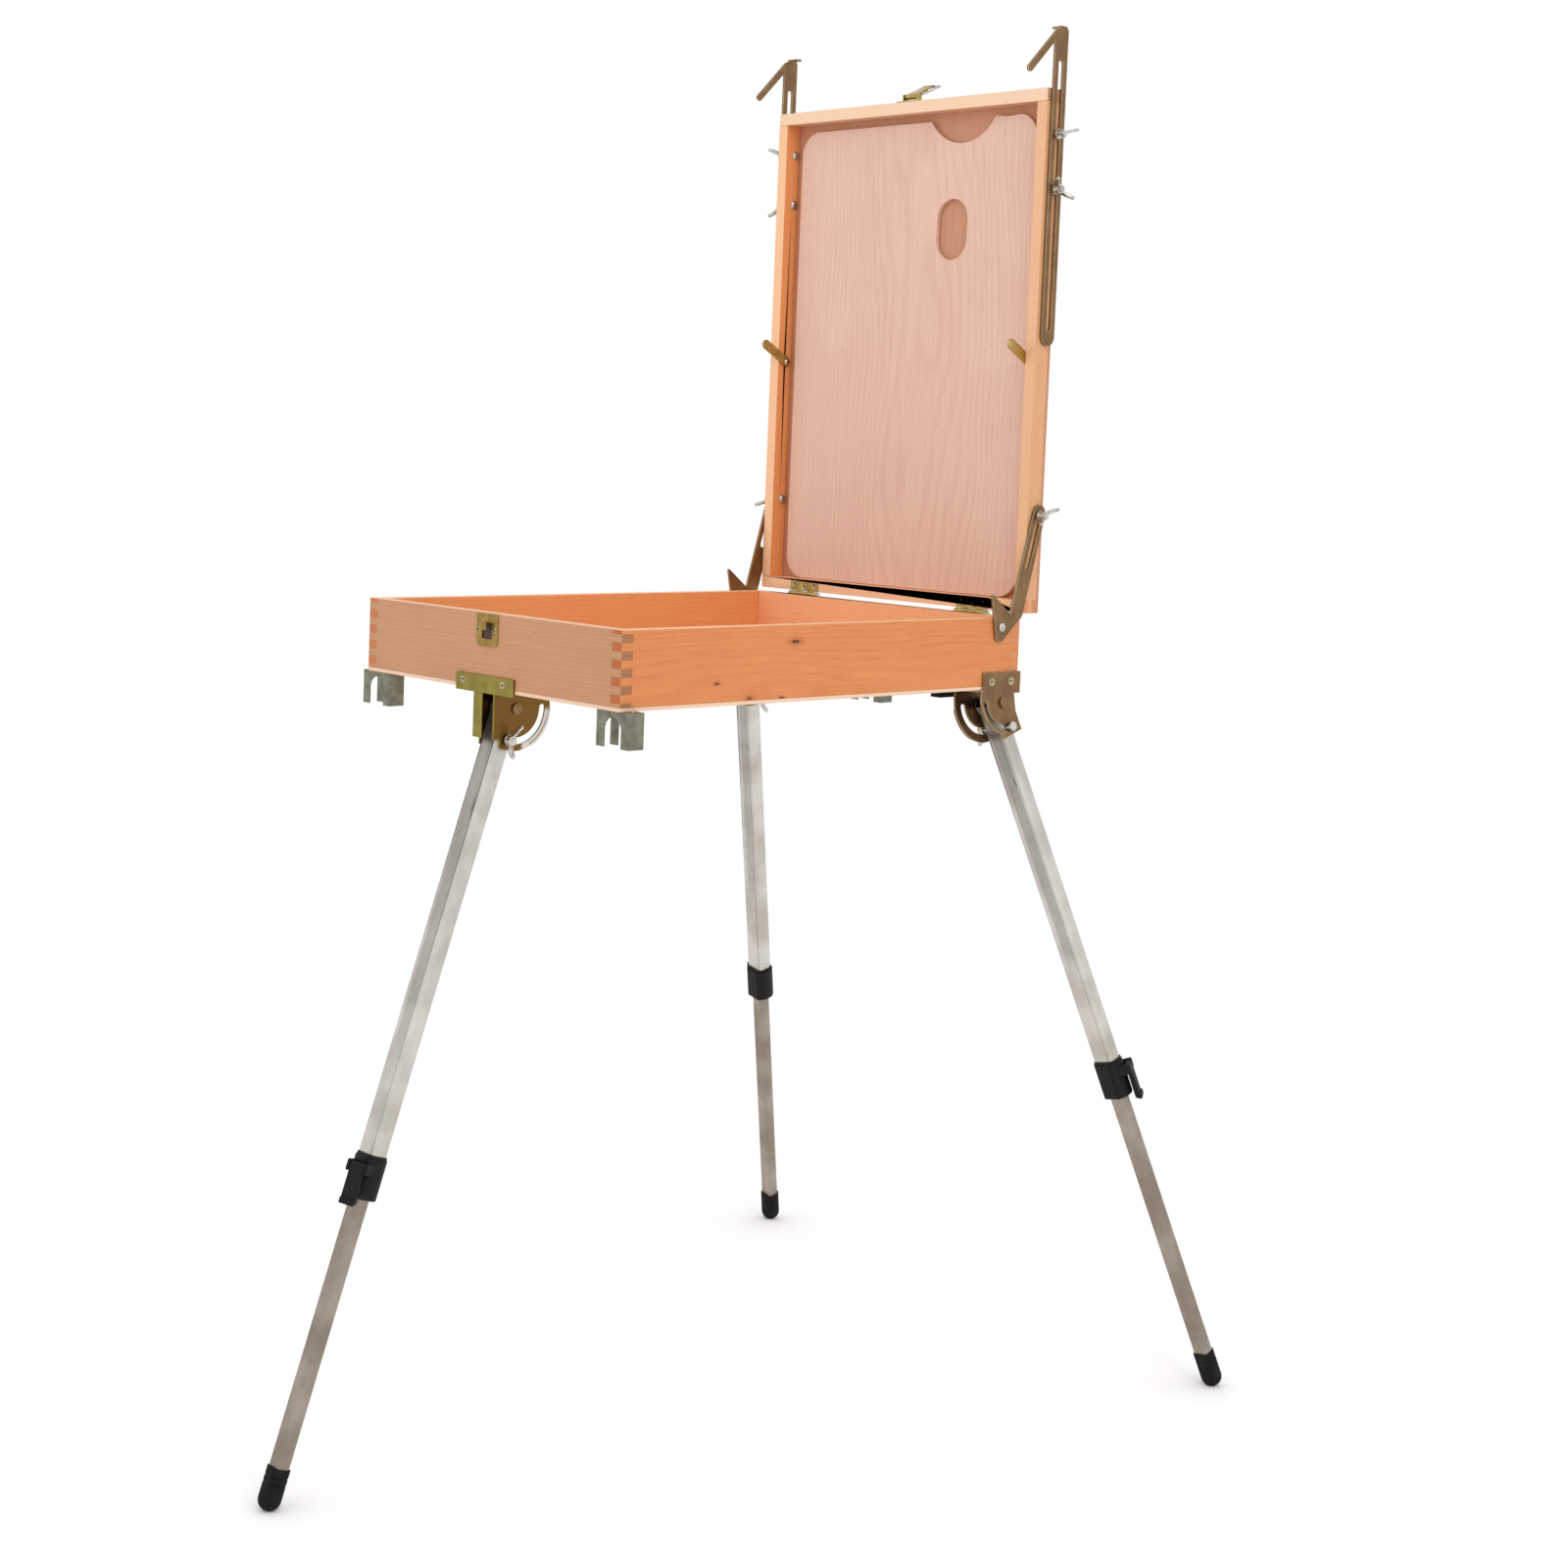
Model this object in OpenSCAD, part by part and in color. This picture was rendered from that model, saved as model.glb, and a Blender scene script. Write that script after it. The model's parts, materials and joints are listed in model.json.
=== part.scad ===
// Pochade box: a sketch box whose lid stands up as an easel, on three folding legs.
// The origin is on the floor, below the middle of the box. The front faces -Y.

/* [Box] */
// Width of the box across the front
box_w = 330; // [310:1:350]
// Depth of the box from front to back
box_d = 450; // [430:1:470]
// Height of the box's rim above the floor
rim_z = 684; // [660:1:710]
// Height of the box's boards
board_h = 58.5; // [54:0.5:62]
// Thickness of the boards of box and lid
board_t = 11; // [10:0.5:12]
// Thickness of the bottom panel and the lid's back panel
panel_t = 3; // [2.5:0.5:4]
// Fingers over the height of a box board, with a half finger at each end
box_fingers = 9; // [7:2:11]

/* [Lid] */
// Depth of the lid's boards, without the panel
lid_board_h = 17; // [16:0.5:20]
// Gap between the rims of the closed box
lid_gap = 0.4; // [0.3:0.1:0.8]
// Thickness of the palette
palette_t = 4; // [3:0.5:5]
// Room between the palette and the lid's side boards
palette_side_gap = 9; // [8:0.5:12]
// Distance of the arm bolts from the lid's lower edge
arm_bolt_u = [365, 411.5]; // [300:1:430]
// Distance of the stay bolt from the lid's lower edge
stay_bolt_u = 84.7; // [80:0.1:90]
// Distance of the turn clip's pivot from the lid's lower edge
turn_clip_u = 216; // [180:1:300]

/* [Hinges] */
// Length of a hinge along its pin
hinge_len = 37; // [30:1:45]
// Distance of a hinge's middle from the middle of the box
hinge_x = 106; // [90:1:115]
// Radius of the hinge barrel
barrel_r = 2.6; // [2.4:0.1:3.2]
// Radius of the hinge pin
hinge_pin_r = 1.3; // [1.1:0.1:1.5]
// Thickness of a hinge leaf
leaf_t = 1.2; // [1:0.1:1.5]

/* [Canvas holders] */
// Thickness of the arm and stay plates
plate_t = 2; // [1.5:0.1:2.5]
// Width of the arm
arm_w = 17; // [15:0.5:19]
// Lower end of the arm above the lid's lower edge
arm_low = 231; // [200:1:250]
// Length of the arm
arm_len = 272; // [240:1:290]
// Width of the slots in arms and stays
slot_w = 5.4; // [5.3:0.1:6]
// Radius of the carriage bolts
bolt_r = 2.5; // [2:0.1:2.6]

/* [Legs] */
// Distance of the leg pivots below the box
pivot_drop = 14.5; // [14:0.5:18]
// Front leg pivot behind the front face
front_pivot_in = 20.5; // [19:0.5:24]
// Rear leg pivot in front of the rear face
rear_pivot_in = 22; // [18:0.5:26]
// Rear leg pivot inside the side face
rear_pivot_side = 10; // [9.5:0.5:14]
// Forward lean of the front leg
front_lean = 18.7; // [14:0.1:22]
// Backward lean of the rear legs
rear_lean = 17.2; // [12:0.1:20]
// Sideways tilt of the rear legs
rear_tilt = 12.4; // [8:0.1:15]
// Radius of the upper leg tube
upper_r = 11; // [10:0.1:11]
// Radius of the lower leg tube
lower_r = 8; // [7:0.1:8]
// Radius of the rubber foot
foot_r = 9.2; // [8.8:0.1:9.2]
// Distance from the front pivot to the middle of its clamp
front_clamp_at = 383; // [340:1:390]
// Distance from a rear pivot to the middle of its clamp
rear_clamp_at = 352; // [320:1:370]

/* [Clearances] */
// Radial clearance of a turning or sliding fit
run_gap = 0.05; // [0.03:0.01:0.1]
// Gap between plates that slide past each other
plate_gap = 0.6; // [0.4:0.1:1]

/* [Hidden] */
$fn = 48;
rear_y = box_d / 2;
front_y = -box_d / 2;
side_x = box_w / 2;
inner_x = side_x - board_t;
board_bottom = rim_z - board_h;
box_bottom = board_bottom - panel_t;
finger_h = board_h / box_fingers;
lid_fingers = 3;
lid_finger_h = lid_board_h / lid_fingers;

// Hinge axis and the open lid's lower front edge, turned a quarter about it
pin_y = rear_y + barrel_r + 0.3;
pin_z = rim_z + lid_gap / 2;
lid_y = pin_y + lid_gap / 2;
lid_z = pin_z + (pin_y - rear_y);
lid_top = lid_z + box_d;
panel_y = lid_y + lid_board_h;

leaf_w = board_t - 0.8;
knuckles = 5;
knuckle_len = hinge_len / knuckles;
knuckle_gap = 0.2;

// Canvas holders, in the plane beside the lid
plate_x = side_x + plate_gap;
holder_y = lid_y + 12.5;
nut_x = plate_x + plate_t + 0.15;
nut_hub_r = 4.6;
nut_hub_h = 6;
bolt_end_x = nut_x + nut_hub_h + 2.5;
prong_w = 6.4;
prong_len = 48;
prong_foot = [-38.8, arm_len - 40];
arm_slot_low = 15.5;
arm_slot_high = 240;
stay_pivot = [rear_y - 26.2, rim_z - 7.8];
stay_bolt = [holder_y, lid_z + stay_bolt_u];
stay_offset = 14.5;
stay_reach = norm(stay_bolt - stay_pivot);
stay_run = sqrt(stay_reach * stay_reach - stay_offset * stay_offset);
stay_dir = atan2(stay_bolt[1] - stay_pivot[1], stay_bolt[0] - stay_pivot[0])
    + asin(stay_offset / stay_reach);
stay_w = 15.5;
stay_screw_r = 2;

// Leg geometry
pivot_z = box_bottom - pivot_drop;
front_pivot = [0, front_y + front_pivot_in, pivot_z];
rear_pivot = [side_x - rear_pivot_side, rear_y - rear_pivot_in, pivot_z];
foot_press = 0.6;
foot_mid_z = foot_r - foot_press;
front_foot_at = (pivot_z - foot_mid_z) / cos(front_lean);
rear_foot_at = (pivot_z - foot_mid_z) / (cos(rear_lean) * cos(rear_tilt));
upper_flats = [upper_r - 0.7, upper_r - 3];
lower_flats = [lower_r - 0.5, lower_r - 2.1];
tube_wall = 1.3;
leg_pin_r = 3;
clamp_h = 32;
press_gap = 0.02;
clamp_r = 12.8;
clamp_flats = [clamp_r - 0.4, clamp_r - 2.2];
foot_flats = [foot_r - 0.3, foot_r - 1.2];
lower_overlap = 60;
front_wing_at = 26;
rear_wing_at = 22;
wing_bolt_r = 2.4;
arc_half_w = 2.8;
front_quadrant_r = 34;
rear_outer_r = 27;
rear_inner_r = 32;
rim_bead = 1;
cheek_x = 12;
cheek_t = 1.8;

// Leg clips
clip_w = 38;
clip_d = 15;
clip_t = 1.2;
clip_h = 28;
clip_notch_r = 9.8;

// Latch
latch_pivot = [lid_y + 7, lid_top + 5.2];
latch_lift = 24;
latch_lever_w = 13;
latch_pin_r = 1.2;
loop_r = 1;
loop_at = 5;

wood_front = [0.78, 0.6, 0.44];
wood_side = [0.86, 0.56, 0.36];
ply = [0.9, 0.76, 0.66];
zinc = [0.62, 0.6, 0.4];
bronze = [0.42, 0.36, 0.28];
brass = [0.75, 0.62, 0.35];
steel = [0.75, 0.75, 0.73];
alloy = [0.66, 0.64, 0.61];
black = [0.12, 0.12, 0.12];

// Helpers

// Flat outline drawn in Y and Z, standing at x with the given thickness
module side_plate(x, t) {
    translate([x, 0, 0]) rotate([90, 0, 90]) linear_extrude(t) children();
}

// Cylinder along X from x0 to x1
module x_rod(x0, x1, r) {
    translate([x0, 0, 0]) rotate([0, 90, 0]) cylinder(h = x1 - x0, r = r);
}

module both_sides() {
    children();
    mirror([1, 0, 0]) children();
}

// Straight slot or bar with round ends, along the second axis
module stadium(w, from, to) {
    translate([-w / 2, from]) square([w, to - from]);
    translate([0, from]) circle(w / 2);
    translate([0, to]) circle(w / 2);
}

// Blocks that cut the gaps for the fingers of the neighbouring board
module finger_cuts(count, h, first) {
    for (i = [first : 2 : count]) translate([0, 0, -i * h - h / 2]) children();
}

screw_head_r = 3;
screw_r = 1.3;
screw_len = 9;
screw_gap = 0.1;

// Countersunk wood screw, its head's top at the origin, pointing down through a plate
module wood_screw(plate) {
    difference() {
        rotate_extrude() polygon([[0, 0], [screw_head_r, 0], [screw_r, -plate],
            [screw_r, -screw_len + 2], [0, -screw_len]]);
        for (a = [0, 90]) rotate(a) translate([-screw_head_r * 0.6, -0.3, -0.5])
            cube([screw_head_r * 1.2, 0.6, 1]);
    }
}

// Sink that a wood screw's head lies in, through a plate
module screw_sink(plate) {
    translate([0, 0, -plate]) cylinder(h = plate, r1 = screw_r + screw_gap, r2 = screw_head_r + screw_gap);
    translate([0, 0, -plate - 2]) cylinder(h = plate + 2, r = screw_r + screw_gap);
    cylinder(h = 1, r = screw_head_r + screw_gap);
}

// Round-head screw, its head's seat at the origin, pointing down
module round_screw(head_r = 2.8, shank_r = 1.3, len = 7) {
    difference() {
        rotate_extrude() polygon([[0, head_r * 0.55], [head_r * 0.6, head_r * 0.48], [head_r, 0.3],
            [head_r, 0], [shank_r, 0], [shank_r, -len + 2], [0, -len]]);
        translate([-head_r, -0.35, head_r * 0.3]) cube([2 * head_r, 0.7, 2]);
    }
}

// Box boards

module finger_block(t, h) {
    translate([-t / 2, -t / 2, 0]) cube([t, t, h]);
}

module corner_cuts(first) {
    for (sx = [-1, 1], sy = [-1, 1])
        translate([sx * (side_x - board_t / 2), sy * (rear_y - board_t / 2), rim_z])
            finger_cuts(box_fingers, finger_h, first) finger_block(board_t, finger_h);
}

module screw_hole_at(p, dir, r = 1.35, len = 9.2) {
    translate(p) rotate(dir) translate([0, 0, -len]) cylinder(h = len + 1, r = r);
}

t_front_screws = [for (x = [-29, 23]) [x, front_y, box_bottom + 6.1]];
t_side_screw_y = [rear_y - 35, rear_y - 10];
t_side_screw_z = box_bottom + 6.6;

module front_board() {
    color(wood_front) difference() {
        translate([-side_x, front_y, board_bottom]) cube([box_w, board_t, board_h]);
        corner_cuts(0);
        for (p = t_front_screws) screw_hole_at(p, [90, 0, 0], 1.35, 8);
        for (p = keeper_screws) screw_hole_at(p, [90, 0, 0], 1.05, 6);
    }
}

module rear_board() {
    color(wood_front) difference() {
        translate([-side_x, rear_y - board_t, board_bottom]) cube([box_w, board_t, board_h]);
        corner_cuts(0);
        for (s = [-1, 1]) translate([s * hinge_x - hinge_len / 2, rear_y - leaf_w, rim_z - leaf_t])
            cube([hinge_len, leaf_w + 1, leaf_t + 1]);
        for (p = hinge_screw_spots) translate([p[0], rear_y - leaf_w + p[1], rim_z - 9.2])
            cylinder(h = 9, r = 1.35);
        for (s = [-1, 1], y = t_side_screw_y) screw_hole_at([s * side_x, y, t_side_screw_z], [0, s * 90, 0],
            1.35, 8);
    }
}

module right_board() {
    color(wood_side) difference() {
        translate([side_x - board_t, front_y, board_bottom]) cube([board_t, box_d, board_h]);
        corner_cuts(1);
        for (y = t_side_screw_y) screw_hole_at([side_x, y, t_side_screw_z], [0, 90, 0], 1.35, 8);
        screw_hole_at([side_x, stay_pivot[0], stay_pivot[1]], [0, 90, 0], stay_screw_r + 0.02, 8.05);
    }
}

module left_board() {
    mirror([1, 0, 0]) right_board();
}

module bottom_panel() {
    color(ply) difference() {
        translate([-side_x, front_y, box_bottom]) cube([box_w, box_d, panel_t]);
        for (c = clip_spots, x = [-clip_screw_x, clip_screw_x])
            translate([c[0] + x, c[1] + clip_d / 2, box_bottom - 1]) cylinder(h = 3.85, r = 1.05);
    }
}

// Hinges

hinge_screw_spots = [for (s = [-1, 1], dx = [-13, 0, 13]) [s * hinge_x + dx, abs(dx) > 1 ? 3.6 : 6]];

module barrel_part(first) {
    for (i = [first : 2 : knuckles - 1])
        translate([-hinge_len / 2 + i * knuckle_len + knuckle_gap / 2, pin_y, pin_z])
            x_rod(0, knuckle_len - knuckle_gap, barrel_r);
}

module barrel_gaps(first, r) {
    for (i = [first : 2 : knuckles - 1])
        translate([-hinge_len / 2 + i * knuckle_len - knuckle_gap / 2, pin_y - r, pin_z - r])
            cube([knuckle_len + knuckle_gap, 2 * r, 2 * r]);
}

module hinge_base_leaves() {
    color(brass) difference() {
        for (s = [-1, 1]) translate([s * hinge_x, 0, 0]) difference() {
            union() {
                difference() {
                    translate([-hinge_len / 2, rear_y - leaf_w, rim_z - leaf_t])
                        cube([hinge_len, leaf_w + pin_y - rear_y, leaf_t]);
                    barrel_gaps(1, barrel_r + 0.3);
                }
                barrel_part(0);
            }
            translate([-hinge_len, pin_y, pin_z]) x_rod(0, 2 * hinge_len, hinge_pin_r + run_gap);
        }
        for (p = hinge_screw_spots) translate([p[0], rear_y - leaf_w + p[1], rim_z]) screw_sink(leaf_t);
    }
}

module hinge_lid_leaves() {
    color(brass) difference() {
        for (s = [-1, 1]) translate([s * hinge_x, 0, 0]) difference() {
            union() {
                difference() {
                    translate([-hinge_len / 2, lid_y, pin_z])
                        cube([hinge_len, leaf_t, leaf_w + lid_z - pin_z]);
                    barrel_gaps(0, barrel_r + 0.3);
                }
                barrel_part(1);
            }
            translate([-hinge_len, pin_y, pin_z]) x_rod(0, 2 * hinge_len, hinge_pin_r + run_gap);
        }
        for (p = hinge_screw_spots) translate([p[0], lid_y, lid_z + leaf_w - p[1]]) rotate([90, 0, 0])
            screw_sink(leaf_t);
    }
}

module hinge_pins() {
    color(steel) for (s = [-1, 1]) translate([s * hinge_x, pin_y, pin_z]) {
        x_rod(-hinge_len / 2 - 0.1, hinge_len / 2 + 0.1, hinge_pin_r);
        for (e = [-1, 1]) translate([e * (hinge_len / 2 + 0.7), 0, 0]) x_rod(-0.7, 0.7, hinge_pin_r + 0.7);
    }
}

// Latch keeper on the front board, with its hook bent up

keeper_w = 28;
keeper_h = 26;
keeper_t = 1;
keeper_top = rim_z - 0.6;
keeper_hook_z = rim_z - 8.5;
keeper_screws = [for (s = [-1, 1]) [s * 10.5, front_y, keeper_top - 13]];

module latch_keeper() {
    color(brass) difference() {
        union() {
            difference() {
                translate([0, front_y, keeper_top]) rotate([90, 0, 0]) linear_extrude(keeper_t) {
                    translate([-keeper_w / 2, -keeper_h + 5]) square([keeper_w, keeper_h - 5]);
                    translate([-keeper_w / 2 + 5, -keeper_h]) square([keeper_w - 10, 6]);
                    for (s = [-1, 1]) translate([s * (keeper_w / 2 - 5), -keeper_h + 5]) circle(5);
                }
                translate([-6.5, front_y - 3, keeper_top - 20]) cube([13, 5, 12.2]);
            }
            translate([-4, front_y - 5.2, keeper_hook_z]) cube([8, 5.2, 1.2]);
            translate([-4, front_y - 5.2, keeper_hook_z - 5]) cube([8, 1.2, 6.2]);
        }
        for (p = keeper_screws) translate([p[0], front_y + 1, p[2]]) rotate([90, 0, 0])
            cylinder(h = 4, r = 1.05);
    }
}

// Brackets that carry the legs

// Arc slot about the pivot, from one direction to another, in degrees. Its round ends are
// a hair narrower than the arc, so that they never graze its sides
module arc_slot(a0, a1, at) {
    difference() {
        circle(at + arc_half_w);
        circle(at - arc_half_w);
        rotate(a1) translate([-50, 0]) square([100, 50]);
        rotate(a0) translate([-50, -50]) square([100, 50]);
    }
    for (a = [a0, a1]) rotate(a) translate([at, 0]) circle(arc_half_w - 0.05);
}

// Plate that the folded leg turns beside, folding toward +Y of this outline
module quadrant_outline(lean, r, at, stem, fore) {
    difference() {
        union() {
            intersection() {
                circle(r);
                translate([-16, -r]) square([r + 16, r + pivot_drop + 8]);
            }
            translate([-fore, -24]) square([fore, 24 + pivot_drop + 8]);
            translate([-1, 0]) square([15, pivot_drop + 8]);
            rotate(lean) translate([-stem / 2, -at - 7]) square([stem, at + 7]);
        }
        arc_slot(-90 + lean, 0, at);
        circle(leg_pin_r + 0.02);
    }
}

module rim_outline(a0, a1, r) {
    difference() {
        circle(r);
        circle(r - 2.2);
        rotate(a1) translate([-50, 0]) square([100, 50]);
        rotate(a0) translate([-50, -50]) square([100, 50]);
    }
}

module cheek(side, lean, r, at, stem, fore) {
    side_plate(side > 0 ? cheek_x : -cheek_x - cheek_t, cheek_t)
        quadrant_outline(lean, r, at, stem, fore);
    side_plate(side > 0 ? cheek_x + cheek_t : -cheek_x - cheek_t - rim_bead, rim_bead)
        rim_outline(-64, -2, r);
}

module front_leg_bracket() {
    color(zinc) difference() {
        union() {
            intersection() {
                translate(front_pivot) for (s = [-1, 1])
                    cheek(s, -front_lean, front_quadrant_r, front_wing_at, 12, front_pivot_in + cheek_t);
                translate([-60, front_y - cheek_t, box_bottom - 100]) cube([120, 200, 100]);
            }
            translate([-38, front_y - cheek_t, box_bottom - 2.5]) cube([75.5, cheek_t, 14]);
            translate([-cheek_x - cheek_t, front_y - cheek_t, pivot_z - 24])
                cube([cheek_t + 10, cheek_t, 24 + pivot_drop]);
            translate([-cheek_x - cheek_t, front_y, box_bottom - cheek_t])
                cube([2 * (cheek_x + cheek_t), front_pivot_in + 31, cheek_t]);
        }
        for (p = t_front_screws) translate([p[0], p[1] - cheek_t, p[2]]) rotate([90, 0, 0])
            screw_sink(cheek_t);
    }
}

module rear_tilted(s) {
    translate([s * rear_pivot[0], rear_pivot[1], rear_pivot[2]]) rotate([0, -s * rear_tilt, 0]) children();
}

module right_leg_bracket() {
    color(bronze) difference() {
        union() {
            intersection() {
                rear_tilted(1) mirror([0, 1, 0]) {
                    cheek(1, -rear_lean, rear_outer_r, rear_wing_at, 26, 10);
                    cheek(-1, -rear_lean, rear_inner_r, rear_wing_at, 14, 10);
                }
                translate([0, 0, box_bottom - 100]) cube([300, 400, 100]);
            }
            translate([side_x, rear_y - 46, box_bottom - 4]) cube([cheek_t, 48, 19]);
            translate([rear_pivot[0] - 26, rear_pivot[1] - 30, box_bottom - cheek_t])
                cube([36, 44, cheek_t]);
            rear_tilted(1) rotate([rear_lean, 0, 0]) for (y = [-9, 9])
                translate([0, y, -24]) x_rod(cheek_x + 0.5, cheek_x + cheek_t + 0.8, 1.7);
        }
        for (y = t_side_screw_y) translate([side_x + cheek_t, y, t_side_screw_z]) rotate([0, 90, 0])
            screw_sink(cheek_t);
    }
}

module left_leg_bracket() {
    mirror([1, 0, 0]) right_leg_bracket();
}

// Rubber blocks under the box, clear of the wings beside them when a rear leg is folded
block_size = [11, 26, 10.8];
block_side = 43;
block_back = 30;

module bracket_blocks() {
    color(black) both_sides()
        translate([rear_pivot[0] - block_side, rear_pivot[1] - block_back, box_bottom - block_size[2]])
            cube(block_size);
}

module leg_pin() {
    x_rod(-cheek_x - cheek_t - 0.1, cheek_x + cheek_t + 0.1, leg_pin_r);
    for (s = [-1, 1]) translate([s * (cheek_x + cheek_t + 0.85), 0, 0]) x_rod(-0.85, 0.85, leg_pin_r + 1.6);
}

module leg_pivot_pins() {
    color(steel) {
        translate(front_pivot) leg_pin();
        for (s = [-1, 1]) rear_tilted(s) leg_pin();
    }
}

// Folded clip with a notch, open at the bottom, for a folded leg
module leg_clip() {
    drop = pivot_drop;
    difference() {
        translate([-clip_w / 2, 0, -clip_h]) cube([clip_w, clip_d, clip_h]);
        translate([-clip_w / 2 - 1, clip_t, -clip_h - 1])
            cube([clip_w - clip_t + 1, clip_d - 2 * clip_t, clip_h + 1 - clip_t]);
        translate([0, -1, -drop]) rotate([-90, 0, 0]) cylinder(h = clip_d + 2, r = clip_notch_r);
        translate([-clip_notch_r, -1, -clip_h - 1]) cube([2 * clip_notch_r, clip_d + 2, clip_h + 1 - drop]);
        for (x = [-clip_screw_x, clip_screw_x]) translate([x, clip_d / 2, -5]) cylinder(h = 6, r = 1.1);
    }
}

module leg_clips() {
    color(steel) {
        for (c = clip_spots) translate([c[0], c[1], box_bottom]) leg_clip();
    }
}

clip_spots = [[-rear_pivot[0], front_y + 2], [rear_pivot[0], front_y + 2], [0, rear_y - clip_d - 2]];

clip_screw_x = 14;

module base_screws() {
    color(steel) {
        for (c = clip_spots, x = [-clip_screw_x, clip_screw_x])
            translate([c[0] + x, c[1] + clip_d / 2, box_bottom - clip_t]) rotate([180, 0, 0])
                round_screw(2.6, 1, 4);
        for (p = t_front_screws) translate([p[0], p[1] - cheek_t, p[2]]) rotate([90, 0, 0])
            wood_screw(cheek_t);
        for (s = [-1, 1], y = t_side_screw_y) translate([s * (side_x + cheek_t), y, t_side_screw_z])
            rotate([0, s * 90, 0]) wood_screw(cheek_t);
        for (p = hinge_screw_spots) translate([p[0], rear_y - leaf_w + p[1], rim_z]) wood_screw(leaf_t);
        for (p = keeper_screws) translate([p[0], p[1] - keeper_t, p[2]]) rotate([90, 0, 0])
            round_screw(2, 1, 6.5);
    }
}

module stay_pivot_screws() {
    color(steel) both_sides() translate([side_x, stay_pivot[0], stay_pivot[1]]) {
        x_rod(-8, plate_gap + plate_t + 0.1, stay_screw_r);
        x_rod(0, plate_gap - 0.1, stay_screw_r + 1.6);
        translate([plate_gap + plate_t + 0.1, 0, 0]) rotate([0, 90, 0]) rotate_extrude()
            polygon([[0, 1.9], [2.4, 1.5], [3.8, 0.4], [3.8, 0], [0, 0]]);
    }
}

// Lid boards, in the open position

module lid_corner_cuts(first) {
    for (sx = [-1, 1], z = [lid_z + board_t / 2, lid_top - board_t / 2])
        translate([sx * (side_x - board_t / 2), lid_y, z]) rotate([90, 0, 0])
            for (i = [first : 2 : lid_fingers]) translate([0, 0, -(i + 1) * lid_finger_h])
                finger_block(board_t, lid_finger_h);
}

module lid_bottom_board() {
    color(wood_front) difference() {
        translate([-side_x, lid_y, lid_z]) cube([box_w, lid_board_h, board_t]);
        lid_corner_cuts(1);
        for (s = [-1, 1]) translate([s * hinge_x - hinge_len / 2, lid_y - 1, lid_z - 1])
            cube([hinge_len, leaf_t + 1, leaf_w + 1]);
        for (p = hinge_screw_spots) translate([p[0], lid_y + 9.2, lid_z + leaf_w - p[1]])
            rotate([90, 0, 0]) cylinder(h = 9, r = 1.35);
    }
}

module lid_top_board() {
    color(wood_front) difference() {
        translate([-side_x, lid_y, lid_top - board_t]) cube([box_w, lid_board_h, board_t]);
        lid_corner_cuts(1);
        for (p = latch_screws) translate([p[0], p[1], lid_top - 6.2]) cylinder(h = 7, r = 1.05);
    }
}

module lid_right_board() {
    color(wood_side) difference() {
        translate([side_x - board_t, lid_y, lid_z]) cube([board_t, lid_board_h, box_d]);
        lid_corner_cuts(0);
        for (u = concat(arm_bolt_u, [stay_bolt_u])) translate([inner_x - 1, holder_y, lid_z + u])
            x_rod(0, board_t + 2, bolt_r + run_gap);
        translate([inner_x - 1, turn_clip_y, lid_z + turn_clip_u]) x_rod(0, 7.2, 1.35);
    }
}

module lid_left_board() {
    mirror([1, 0, 0]) lid_right_board();
}

module lid_panel() {
    color(ply) translate([-side_x, panel_y, lid_z]) cube([box_w, panel_t, box_d]);
}

module carriage_bolt(end) {
    x_rod(inner_x - 0.5, end, bolt_r);
    translate([inner_x, 0, 0]) rotate([0, -90, 0]) rotate_extrude()
        polygon([[0, 0], [4.4, 0], [4.4, 0.5], [3.9, 1.3], [2.4, 2], [0, 2.3]]);
}

module carriage_bolts() {
    color(steel) both_sides() {
        for (u = arm_bolt_u) translate([0, holder_y, lid_z + u]) carriage_bolt(bolt_end_x);
        translate([0, holder_y, lid_z + stay_bolt_u]) carriage_bolt(side_x);
    }
}

// Palette with a thumb hole and a scoop in its upper edge

palette_w = 2 * (inner_x - palette_side_gap);
palette_h = box_d - 2 * board_t - 0.3 - 7;
palette_y = panel_y - 0.5 - palette_t;

module palette_outline() {
    r = 22;
    difference() {
        union() {
            translate([-palette_w / 2 + r, 0]) square([palette_w - 2 * r, palette_h]);
            translate([-palette_w / 2, r]) square([palette_w, palette_h - 2 * r]);
            for (s = [-1, 1], y = [r, palette_h - r]) translate([s * (palette_w / 2 - r), y]) circle(r);
        }
        translate([58, palette_h + 24]) circle(45);
        translate([112, palette_h + 62]) circle(63);
        translate([palette_thumb[0], palette_thumb[1]]) stadium(36, -9, 9);
    }
}

palette_thumb = [50, palette_h - 97];

module palette() {
    color(ply) translate([0, palette_y + palette_t, lid_z + board_t + 0.3]) rotate([90, 0, 0])
        linear_extrude(palette_t) palette_outline();
}

// Turn clips on the inner faces of the lid's side boards

turn_clip_y = lid_y + 9;
turn_clip_t = 2;
turn_clip_rise = 30;

module right_turn_clip() {
    color(brass) translate([inner_x - 0.15 - turn_clip_t, turn_clip_y, lid_z + turn_clip_u])
        rotate([-turn_clip_rise, 0, 0]) difference() {
            side_plate(0, turn_clip_t) rotate(90) stadium(9, 0, 31);
            x_rod(-1, turn_clip_t + 1, 1.5 + run_gap);
        }
}

module left_turn_clip() {
    mirror([1, 0, 0]) right_turn_clip();
}

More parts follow.
